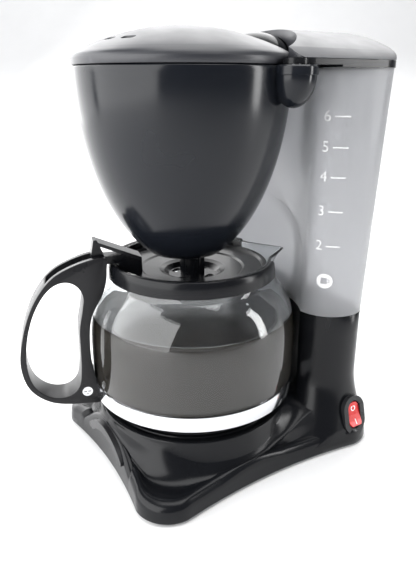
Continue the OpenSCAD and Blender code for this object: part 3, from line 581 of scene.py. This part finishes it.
def build_funnel():
    at_head = (HEAD.x, HEAD.y)
    levels = [FUNNEL_FLOOR + (RIM_Z - 0.8 - FUNNEL_FLOOR) * k / 40 for k in range(41)]
    outer = [(funnel_r(z), z) for z in levels]
    rim = [(RIM_R - 0.2, RIM_Z - 0.3), (RIM_R - 0.7, RIM_Z), (RIM_R - 1.6, RIM_Z),
           (RIM_R - WALL, RIM_Z - 0.5)]
    inner = [(funnel_r(z, WALL), z) for z in reversed(levels[2:-1])]
    nose = [(0, 125.2), (7.9, 125.2), (8.2, 124), (8.6, 123.6), (9.8, 123.6), (10.4, 124.2), (10.6, 126),
            (outer[0][0] - 1.2, FUNNEL_FLOOR - 0.1)]
    body = lathe("Funnel", nose + outer + rim + inner + [(0, FUNNEL_FLOOR + WALL)], FUNNEL, at_head, 160)
    knob_foot = [((KNUCKLE_R - 0.5) * c, 222 - 15 * s) for c, s in arc(0, 0, 1, 90, 0, 15)]
    knob_top = [(KNUCKLE_R, 222.3), (KNUCKLE_R, 225.9), (KNUCKLE_R - 0.7, RIM_Z), (0, RIM_Z)]
    knob = lathe("Knuckle", knob_foot + knob_top, FUNNEL, (HINGE.x, HINGE.y), 64)
    core = lathe("Core", [(0, 120)] + [(funnel_r(z, 1), z) for z in levels] + [(RIM_R - 1, 240), (0, 240)],
                 FUNNEL, at_head, 160)
    combine(knob, core, "DIFFERENCE")
    combine(body, knob, "UNION")
    finish_piece(body, "brew_funnel")


def dome_z(r, inset=0):
    """Height of the dome's crown at a radius."""
    return DOME_TOP - inset - r * r / (2 * DOME_ARC)


def ball(name, r):
    """The upper half of the ball that the pipe's hood is cut from."""
    return lathe(name, [(0, HOOD[2])] + arc(0, HOOD[2], r, 0, 90, 18), GLOSS, HOOD[:2], 96)


def build_dome():
    at_head = (HEAD.x, HEAD.y)
    skirt = smooth_curve([(52, dome_z(52)), (55.8, 232.4), (RIM_R, 230.2)], 5)
    outer = [(r, dome_z(r)) for r in range(0, 52, 4)] + skirt + [(RIM_R, DOME_RIM + 0.5), (56.8, DOME_RIM)]
    inner = [(55.6, DOME_RIM), (55.2, 229.5), (50, dome_z(50, 2))]
    inner += [(r, dome_z(r, 2)) for r in range(44, -1, -4)]
    cover = lathe("Dome", outer + inner, COVER, at_head, 160)
    for angle in (-104, -85, -66):
        combine(cover, prism("Vent", vent_outline(math.radians(angle)), 225, 250, COVER), "DIFFERENCE")
    bevelled(cover, 0.25, 2)
    finish_piece(cover, "dome_cover")


def vent_outline(angle, at_r=42, half=2.2, r=1.9):
    """A slot with round ends, lying along the dome's rim at an angle."""
    c, s = math.cos(angle), math.sin(angle)
    ends = arc(half, 0, r, -90, 90, 8) + arc(-half, 0, r, 90, 270, 8)
    return [(HEAD.x + (at_r + out) * c + along * s, HEAD.y + (at_r + out) * s - along * c)
            for along, out in ends]


def build_hood():
    """The hood over the pipe, where it passes from the tank's lid to the dome."""
    hood = ball("Hood", HOOD_R)
    core = lathe("Core", [(0, 220), (56, 220), (56, 229.5)] + [(r, dome_z(r, 1)) for r in range(52, -1, -4)],
                 COVER, (HEAD.x, HEAD.y), 160)
    combine(hood, core, "DIFFERENCE")
    combine(hood, prism("Cut", box_outline(0, 60, 0, 90), 200, FRAME_TOP + 0.1, COVER), "DIFFERENCE")
    extra_piece(bevelled(hood, 0.3, 2), "machine")


def head_outline(inset):
    """Plan of the tank's lid, open at the front round the dome."""
    half, rear, corner = 61.5 - inset, BASE_REAR - inset, 16 - inset
    r = DOME_GAP_R + inset
    y0 = 24 + inset
    tip = math.degrees(math.asin((y0 - HEAD.y) / r))
    return (arc(half - corner, rear - corner, corner, 0, 90, 14)
            + arc(-half + corner, rear - corner, corner, 90, 180, 14)
            + [(-half, y0 + 8)] + arc(-half + 7, y0 + 7, 7, 190, 262, 6)
            + arc(HEAD.x, HEAD.y, r, 180 - tip, tip, 48)
            + arc(half - 7, y0 + 7, 7, 278, 350, 6) + [(half, y0 + 8)])


def lid_block(inset):
    """The lid's outer shape, or the hollow inside it."""
    block = prism("LidBlock", head_outline(inset), LID_SEAT - (1 if inset else 0), 260, COVER)
    crown_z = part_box("tank_lid")[1].z / MM - LID_ARC
    crown_outline = ring(0, crown_z, LID_ARC - inset, 360)
    crown = skin("Crown", [[(x, y, z) for x, z in crown_outline] for y in (-10, 120)], COVER)
    combine(block, crown, "INTERSECT")
    return combine(block, ball("HoodCut", HOOD_R + HOOD_GAP + inset), "DIFFERENCE")


def build_tank_lid():
    lid = lid_block(0)
    combine(lid, lid_block(2), "DIFFERENCE")
    seat = LID_SEAT - 2
    combine(lid, prism("RearCut", box_outline(0, 70, 93, 110), seat, LID_SEAT + 1.2, COVER), "DIFFERENCE")
    combine(lid, prism("PipeNotch", box_outline(11, 7, 52, 74), seat, LID_SEAT + 9.5, COVER), "DIFFERENCE")
    bevelled(lid, 0.7)
    for x in (-LID_PIN_X, LID_PIN_X):
        combine(lid, hinge_barrel(x), "UNION", 60)
        ear = prism("FrameEar", box_outline(x * 0.78, 4.3, 92.6, 104), seat, 235.6, COVER)
        combine(lid, ear, "DIFFERENCE", 60)
    finish_piece(lid, "tank_lid")


def hinge_barrel(x):
    """One of the lid's two hinge barrels."""
    ends = ((-4, 2.0), (-3.7, 2.3), (3.7, 2.3), (4, 2.0))
    return skin("Barrel", [[(x + dx, y, z) for y, z in ring(*LID_PIN, r, 32)] for dx, r in ends], COVER)


# ---------------------------------------------------------------- tank

def build_tank():
    tank = stack("Tank", tank_outline, (TANK_Z, TANK_TOP), SMOKE)
    combine(tank, niche_bullet("Niche", 0), "DIFFERENCE")
    inside = stack("Inside", lambda z: tank_outline(z, WALL), (TANK_Z + WALL, TANK_TOP + 2), SMOKE)
    combine(inside, niche_bullet("NicheIn", WALL), "DIFFERENCE")
    combine(tank, inside, "DIFFERENCE")
    finish_piece(tank, "water_tank")


def niche_bullet(name, grow):
    """The upright cylinder with a domed top that the jug's niche is cut with."""
    r = NICHE_R + grow
    return lathe(name, [(0, 20), (r, 20)] + arc(0, NICHE_TOP, r, 0, 90, 30), SMOKE, segments=180)


CUP_MARKS = ((2, 131), (3, 151), (4, 170), (5, 186), (6, 202))   # cups and height
FIGURE_ANGLE, SIGN_ANGLE = math.radians(-66), math.radians(-54)  # places round the tank's corner
TICK_ANGLES = range(-56, -35, 4)                                 # degrees
PRINT_AT = (TANK_X0 - TANK_CORNERS[0] + 1.4, TANK_Y[0] + TANK_CORNERS[0] + 0.6)
PRINT_LIFT = 0.75                                                # proud of the corner at the tank's foot


def on_corner(angle, z):
    """A point just proud of the tank's rounded front corner, which leans out by 1 mm to its top."""
    r = TANK_CORNERS[0] + PRINT_LIFT + (z - TANK_Z) / (TANK_TOP - TANK_Z)
    return (PRINT_AT[0] + r * math.cos(angle), PRINT_AT[1] + r * math.sin(angle), z)


def build_marks():
    """Cup figures, ticks and a jug sign printed on the tank's rounded front corner."""
    pieces = []
    for cups, z in CUP_MARKS:
        pieces.append(printed_figure(str(cups), FIGURE_ANGLE, z))
        rows = [[on_corner(math.radians(a), z + dz) for dz in (-0.35, 0.35)] for a in TICK_ANGLES]
        pieces.append(strip("Tick", rows, PRINT))
    pieces.append(jug_sign(SIGN_ANGLE, 110))
    finish_piece(joined("Marks", pieces), "level_marks")


def jug_sign(angle, z, r=4.5, rows=45):
    """A disc with a plain jug left out of it: strips across the disc, stopped at the jug's outline."""
    verts, faces = [], []
    for k in range(rows):
        low, high = (r * (2 * j / rows - 1) for j in (k, k + 1))
        middle = (low + high) / 2
        half = math.sqrt(r * r - middle ** 2)
        edges = [-half] + [g for gap in jug_gaps(middle) for g in gap] + [half]
        for x0, x1 in zip(edges[::2], edges[1::2]):
            n = len(verts)
            verts += [on_corner(angle + x / TANK_CORNERS[0], z + y)
                      for x, y in ((x0, low), (x1, low), (x1, high), (x0, high))]
            faces.append((n, n + 1, n + 2, n + 3))
    return make("Sign", verts, faces, PRINT)


def jug_gaps(y):
    """Spans of the sign's jug at this height: its body, and the loop of its handle."""
    if not -2 < y < 2:
        return []
    if abs(y) > 1.1:
        return [(-2.2, 1.3)]
    return [(-2.2, 2.8)] if abs(y) > 0.6 else [(-2.2, 1.3), (2.2, 2.8)]


def printed_figure(figure, angle, z, size=8.2):
    """A printed number, bent round the tank's corner."""
    curve = bpy.data.curves.new("Figure", "FONT")
    curve.body = figure
    curve.size = size
    curve.align_x = "CENTER"
    curve.align_y = "CENTER"
    holder = bpy.data.objects.new("Figure", curve)
    bpy.context.scene.collection.objects.link(holder)
    bpy.context.view_layer.update()
    flat = bpy.data.meshes.new_from_object(holder.evaluated_get(bpy.context.evaluated_depsgraph_get()))
    verts = [on_corner(angle + v.co.x / TANK_CORNERS[0], z + v.co.y) for v in flat.vertices]
    faces = [tuple(p.vertices) for p in flat.polygons]
    bpy.data.objects.remove(holder)
    return make("Figure" + figure, verts, faces, PRINT)


# ---------------------------------------------------------------- jug

# The jug's outside, as radius and height above the plate.
JUG_OUT = [(50, 0), (56, 3.2), (59.6, 8), (61.2, 14), (62, 22), (62.3, 36), (61.9, 48), (60.2, 58),
           (56.4, 67), (51.6, 73.4), (47.8, 78), (46.6, 83), (46.6, 88)]


def jug_profile(inset):
    """The jug's side from its foot to its mouth, set inwards."""
    return [(r - inset, max(z, inset)) for r, z in smooth_curve(JUG_OUT, 6)]


SPOUT_OUT, SPOUT_HALF = 12.5, 24              # the pouring lip's reach, and its half width in degrees
SPOUT_FOOT, SPOUT_H = 72, 16                  # height where it starts, and over what height it grows


def spout_reach(angle, height):
    """How far the pouring lip draws the wall out at this angle and height."""
    across = max(0.0, 1 - abs((angle - 90) / SPOUT_HALF)) ** 1.6
    upward = max(0.0, (height - SPOUT_FOOT) / SPOUT_H) ** 1.4
    return SPOUT_OUT * across * min(upward, 1)


def jug_section(profile, degrees):
    """The profile at an angle round the jug, drawn out where the pouring lip is."""
    a = math.radians(degrees)
    section = []
    for r, z in profile:
        out = r + spout_reach(degrees, z)
        section.append((*from_jug(out * math.cos(a), out * math.sin(a)), JUG_Z + z))
    return section


def build_jug_glass():
    outer = [(0, 0), (30, 0.6), (46, 0)] + jug_profile(0)
    lip = [(46.4, 88.6), (45.6, 88.9), (44.9, 88.6)]
    inner = jug_profile(2)[::-1] + [(30, 2.4), (0, 2.2)]
    sections = [jug_section(outer + lip + inner, 360 * k / JUG_STEPS) for k in range(JUG_STEPS)]
    finish_piece(strip("JugGlass", sections, GLASS, joined_up=True, smooth=60), "jug_glass")


def build_coffee():
    level = COFFEE_Z - JUG_Z
    side = [(r + 0.1, z) for r, z in jug_profile(2) if z < level]
    top = side[-1][0]
    meniscus = [(top + 0.1, level + 0.4), (top - 0.8, level), (top - 3, level - 0.2), (0, level - 0.2)]
    profile = [(0, 2.1), (30, 2.3)] + side + meniscus
    body = lathe("Coffee", [(r, JUG_Z + z) for r, z in profile], COFFEE)
    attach(body, "jug")


def build_collar():
    """The collar round the jug's neck, open for 64 degrees at the pouring lip."""
    profile = [(47, 112.9), (49.2, 112.9), (49.8, 113.4), (49.6, 118), (49.1, 121.2), (48.6, 122.2),
               (48, 122.5), (47.2, 122.5), (46.6, 122.2), (46.4, 121.6), (46.8, 121)]
    gap = 64
    start = 90 + gap / 2 - math.degrees(TURN)
    collar = lathe("Collar", profile, GLOSS, segments=JUG_STEPS, sweep=(start, start + 360 - gap))
    finish_piece(collar, "jug_collar")


# The handle's outside and the hole in it, as distance out from the jug's axis and height.
HANDLE_OUT = [(52, 127.5), (62, 127), (75, 122.5), (84, 116.5), (92, 106), (97.5, 94), (101, 82), (103, 70),
              (101.5, 58), (97, 49.5), (89, 43), (80, 40), (70, 38.8), (59, 38.4), (58, 46), (62.2, 56),
              (63.8, 68), (63.6, 82), (61.5, 94), (55, 106), (52.4, 114), (51.6, 121)]
HANDLE_HOLE = [(68.5, 112.5), (74, 115.6), (80.5, 114.5), (86.5, 109.5), (92, 101), (96, 91), (98.6, 80),
               (99.6, 68), (97.8, 57), (93, 49.6), (86, 45.2), (78, 45), (72, 50), (70, 60), (69.4, 74),
               (69, 86), (66.6, 98), (65.6, 106)]
HANDLE_HALF = 8.5                             # half of the handle's width


def handle_slab(name, outline, v0, v1):
    """A side-view outline of (u, z), given a thickness across the handle."""
    return skin(name, [[on_handle(u, v, z) for u, z in outline] for v in (v0, v1)], SATIN)


def build_handle():
    body = handle_slab("Handle", smooth_curve(HANDLE_OUT, 5, True), -HANDLE_HALF, HANDLE_HALF)
    hole = handle_slab("Hole", smooth_curve(HANDLE_HOLE, 5, True), -HANDLE_HALF - 2, HANDLE_HALF + 2)
    combine(body, hole, "DIFFERENCE")
    groove = [(45, 112.2), (64.6, 112.2), (64.6, 120.5), (76, 117.6), (84, 113.5), (90, 118), (70, 140),
              (45, 140)]
    combine(body, handle_slab("Groove", groove, -4.7, 4.7), "DIFFERENCE")
    side = [(r + 0.3, JUG_Z + z) for r, z in jug_profile(0)]
    combine(body, lathe("JugCut", [(0, JUG_Z)] + side + [(0, 122)], SATIN), "DIFFERENCE")
    bevelled(body, 0.9, angle=40)
    for v0, v1 in ((6.9, 12), (-12, -6.9)):
        recess = handle_slab("Recess", ring(SCREW_U, SCREW_Z, 3.2, 40), v0, v1)
        combine(body, recess, "DIFFERENCE")
    finish_piece(body, "jug_handle")


def build_strap():
    section = [(61.3, 41.3), (62.0, 41.5), (62.3, 44), (62.4, 48), (62.3, 50.3), (61.6, 50.5), (61.5, 48),
               (61.3, 44)]
    strap = lathe("Strap", [*section, section[0]], POLISHED, segments=JUG_STEPS)
    finish_piece(strap, "jug_strap")


# ---------------------------------------------------------------- switch

SWITCH = (64.1, 79.5, 20)                     # middle of the switch's face
SWITCH_LEAN = math.radians(13.4)


def at_switch(down, across, out):
    """A point on the switch: down its face, across it, and out of it."""
    s, c = math.sin(SWITCH_LEAN), math.cos(SWITCH_LEAN)
    return (SWITCH[0] + down * s + out * c, SWITCH[1] + across, SWITCH[2] - down * c + out * s)


def build_switch_marks():
    """The off and on marks: an open ring and a bar."""
    turn = arc(0, 0, 1, 0, 360, 32)
    off = [[at_switch(r * c - 4.2, r * s, 0.95 - 0.02 * r) for c, s in turn] for r in (1.2, 1.9)]
    ends = ((2.6, 1.95), (5.8, 3.2))
    on = [[at_switch(down, across, out) for down, out in ends] for across in (-0.35, 0.35)]
    marks = joined("SwitchMarks", [strip("MarkOff", off, PRINT), strip("MarkOn", on, PRINT)])
    extra_piece(marks, "rocker")


build_base()
build_pillar()
build_switch_marks()
build_funnel()
build_dome()
build_hood()
build_tank_lid()
build_tank()
build_marks()
build_jug_glass()
build_coffee()
build_collar()
build_handle()
build_strap()


# ---------------------------------------------------------------- floor, light and camera

# Where the camera stands, in millimetres from the jug's axis, and where it looks.
EYE = (270.3, -159.8, 219.8)
HEADING, PITCH = math.radians(147.7), math.radians(-20.1)


def stage_floor():
    """A pale sheet that lies flat and curves up behind."""
    start, flat_end, bend, half_width = -2.2, 0.7, 0.8, 3.5
    curve = [(flat_end + c, bend + s) for c, s in arc(0, 0, bend, -90, 0, 10)]
    profile = [(start, 0), *curve, (flat_end + bend, 2.5)]
    ahead_x, ahead_y = math.cos(HEADING), math.sin(HEADING)
    verts = [(d * ahead_x - s * ahead_y, d * ahead_y + s * ahead_x, z)
             for d, z in profile for s in (-half_width, half_width)]
    faces = [(2 * i, 2 * i + 1, 2 * i + 3, 2 * i + 2) for i in range(len(profile) - 1)]
    mesh = bpy.data.meshes.new("Floor")
    mesh.from_pydata(verts, [], faces)
    mesh.polygons.foreach_set("use_smooth", [True] * len(faces))
    mesh.materials.append(surface("floor", (0.92, 0.92, 0.92), 0.6, 0.03, 0.02))
    floor = bpy.data.objects.new("Floor", mesh)
    bpy.context.scene.collection.objects.link(floor)


# Name, place and target in metres, size and power in watts.
LIGHTS = (("TopLight", (0.1, 0.1, 1.1), (0, 0, 0.1), (0.9, 0.9), 9),
          ("BackTopLight", (-0.75, 0.45, 0.85), (0, 0, 0.2), (1.5, 0.8), 9.5),
          ("LeftPanel", (0.0, -1.0, 0.45), (0, 0, 0.12), (1.6, 1.2), 26),
          ("FarLeftPanel", (-1.0, -0.4, 0.45), (0, 0, 0.12), (1.2, 1.1), 12),
          ("RightStrip", (0.75, 0.85, 0.4), (0, 0.05, 0.12), (0.2, 0.9), 6))


def soft_box(name, place, target, size, power):
    """A rectangular area light that faces its target."""
    lamp = bpy.data.lights.new(name, "AREA")
    lamp.shape = "RECTANGLE"
    lamp.size, lamp.size_y = size
    lamp.energy = power
    obj = bpy.data.objects.new(name, lamp)
    obj.location = place
    obj.rotation_euler = (Vector(target) - Vector(place)).to_track_quat("-Z", "Y").to_euler()
    bpy.context.scene.collection.objects.link(obj)


def place_world():
    world = bpy.data.worlds.new("World")
    world.use_nodes = True
    background = world.node_tree.nodes["Background"]
    background.inputs["Color"].default_value = (0.9, 0.93, 1.0, 1)
    background.inputs["Strength"].default_value = 0.2
    bpy.context.scene.world = world


def place_camera():
    camera = bpy.data.cameras.new("Camera")
    camera.lens = 35.22
    camera.sensor_width = 36
    obj = bpy.data.objects.new("Camera", camera)
    obj.location = (Vector(EYE) + Vector((AXIS.x, AXIS.y, 0))) * MM
    level = math.cos(PITCH)
    ahead = Vector((math.cos(HEADING) * level, math.sin(HEADING) * level, math.sin(PITCH)))
    obj.rotation_euler = ahead.to_track_quat("-Z", "Y").to_euler()
    bpy.context.scene.collection.objects.link(obj)
    bpy.context.scene.camera = obj


stage_floor()
for light in LIGHTS:
    soft_box(*light)
place_world()
bpy.context.scene.view_settings.view_transform = "Standard"
place_camera()
